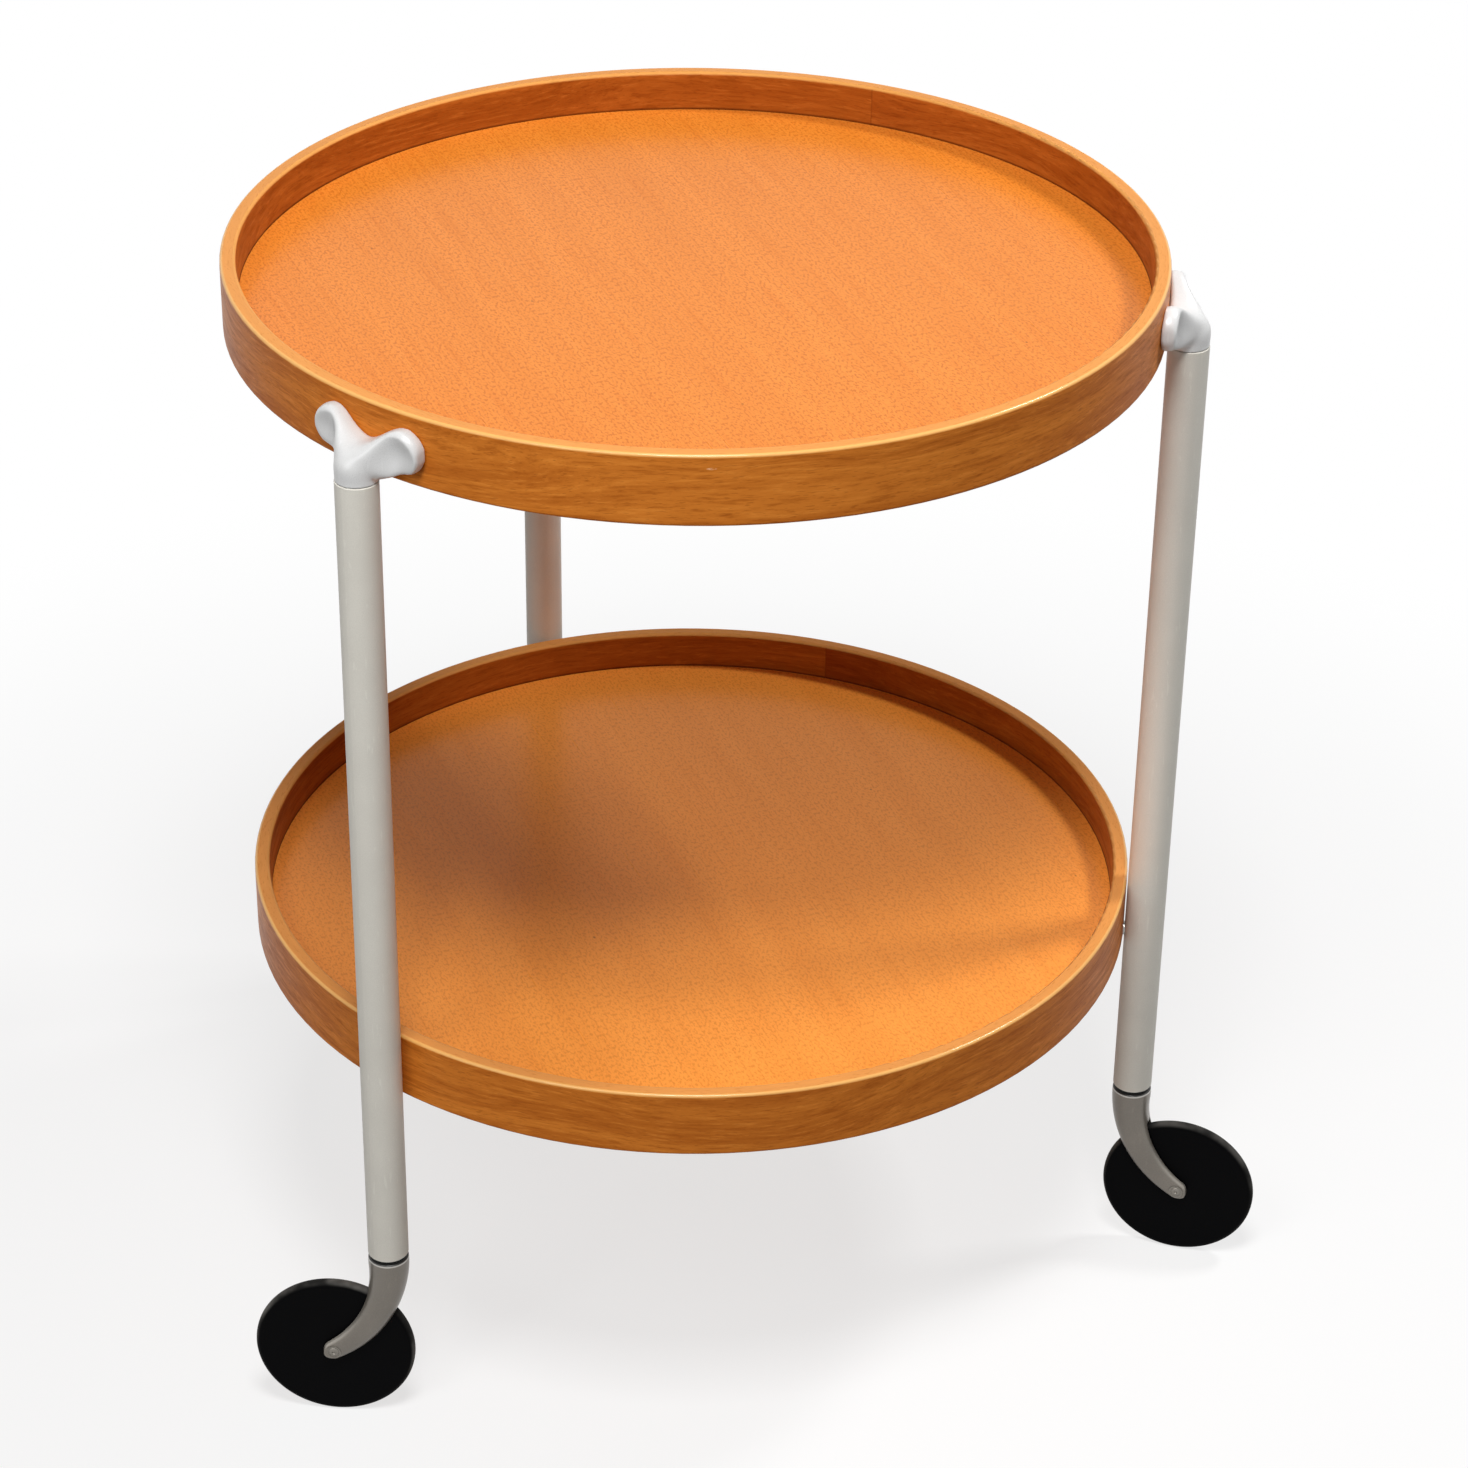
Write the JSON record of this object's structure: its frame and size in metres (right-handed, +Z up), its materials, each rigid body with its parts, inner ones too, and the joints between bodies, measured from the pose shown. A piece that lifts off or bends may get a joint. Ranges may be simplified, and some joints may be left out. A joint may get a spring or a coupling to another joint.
{
  "type": "bar cart",
  "caption": "Round serving trolley: bentwood trays one above the other between upright tubes with cast two-lobed brackets, rolling on swivel casters with curved forks.",
  "frame": {"origin": "on the floor, under the common axis of the two trays", "axes": "+Z up along the trays' axis, +Y towards the rear leg, the left and right legs towards -Y"},
  "size_m": [0.6547, 0.6241, 0.7],
  "materials": {
    "beech_hoop": "clear satin lacquer on bent beech",
    "tray_floor": "clear satin lacquer on fine-grained veneer",
    "leg_tube": "smooth satin powder coat, warm light grey",
    "bracket": "fine satin casting",
    "fork": "satin die casting, warm grey",
    "wheel": "moulded, matte black",
    "socket": "moulded, black",
    "steel": "zinc plated",
    "bush": "moulded bearing plastic"
  },
  "bodies": {
    "frame": {"upper_tray_hoop": "beech_hoop", "upper_tray_floor": "tray_floor", "upper_tray_bolts": "steel", "upper_tray_washers": "steel", "lower_tray_hoop": "beech_hoop", "lower_tray_floor": "tray_floor", "lower_tray_bolts": "steel", "lower_tray_washers": "steel", "lower_tray_rivet_nuts": "steel", "left_leg_tube": "leg_tube", "left_bracket": "bracket", "left_socket": "socket", "right_leg_tube": "leg_tube", "right_bracket": "bracket", "right_socket": "socket", "rear_leg_tube": "leg_tube", "rear_bracket": "bracket", "rear_socket": "socket"},
    "left_swivel": {"left_stem": "steel", "left_stem_clip": "steel", "left_fork": "fork", "left_axle": "steel", "left_axle_washers": "steel"},
    "left_roller": {"left_wheel": "wheel", "left_wheel_bush": "bush"},
    "right_swivel": {"right_stem": "steel", "right_stem_clip": "steel", "right_fork": "fork", "right_axle": "steel", "right_axle_washers": "steel"},
    "right_roller": {"right_wheel": "wheel", "right_wheel_bush": "bush"},
    "rear_swivel": {"rear_stem": "steel", "rear_stem_clip": "steel", "rear_fork": "fork", "rear_axle": "steel", "rear_axle_washers": "steel"},
    "rear_roller": {"rear_wheel": "wheel", "rear_wheel_bush": "bush"}
  },
  "joints": [
    {"name": "left_caster_swivel", "type": "hinge", "parent": "frame", "child": "left_swivel", "pos_m": [-0.25392, -0.1466, 0.1235], "axis": [0, 0, 1], "continuous": true},
    {"name": "left_wheel_spin", "type": "hinge", "parent": "left_swivel", "child": "left_roller", "pos_m": [-0.28591, -0.1312, 0.05], "axis": [-0.4337, -0.9011, 0], "continuous": true},
    {"name": "right_caster_swivel", "type": "hinge", "parent": "frame", "child": "right_swivel", "pos_m": [0.25392, -0.1466, 0.1235], "axis": [0, 0, 1], "continuous": true},
    {"name": "right_wheel_spin", "type": "hinge", "parent": "right_swivel", "child": "right_roller", "pos_m": [0.28227, -0.16796, 0.05], "axis": [0.6018, 0.7986, 0], "continuous": true},
    {"name": "rear_caster_swivel", "type": "hinge", "parent": "frame", "child": "rear_swivel", "pos_m": [0, 0.2932, 0.1235], "axis": [0, 0, 1], "continuous": true},
    {"name": "rear_wheel_spin", "type": "hinge", "parent": "rear_swivel", "child": "rear_roller", "pos_m": [0.02908, 0.31356, 0.05], "axis": [-0.5736, 0.8192, 0], "continuous": true}
  ]
}
